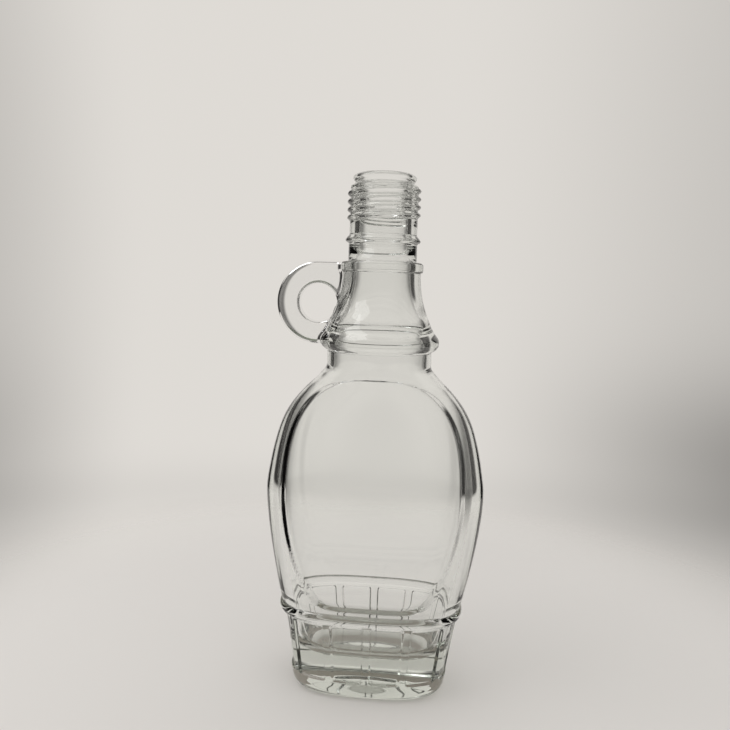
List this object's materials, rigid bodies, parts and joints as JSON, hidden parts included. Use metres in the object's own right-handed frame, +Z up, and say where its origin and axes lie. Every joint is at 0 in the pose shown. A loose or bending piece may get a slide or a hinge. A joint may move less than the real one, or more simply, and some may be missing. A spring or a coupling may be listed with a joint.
{
  "type": "glass bottle",
  "caption": "Empty clear glass flask bottle with a loop handle on its neck, arched label panels, a ribbed skirt and a screw-cap mouth; holds about a quarter litre of drink or syrup.",
  "frame": {"origin": "middle of the foot plane, on the neck's axis", "axes": "+Z up along the neck's axis, -X towards the loop handle, -Y towards the front label panel"},
  "size_m": [0.0858, 0.046, 0.1997],
  "materials": {
    "clear_glass": "clear moulded flint glass with a faint green tint where it is thick, smooth and glossy"
  },
  "bodies": {
    "root": {"bottle": "clear_glass"}
  },
  "joints": []
}
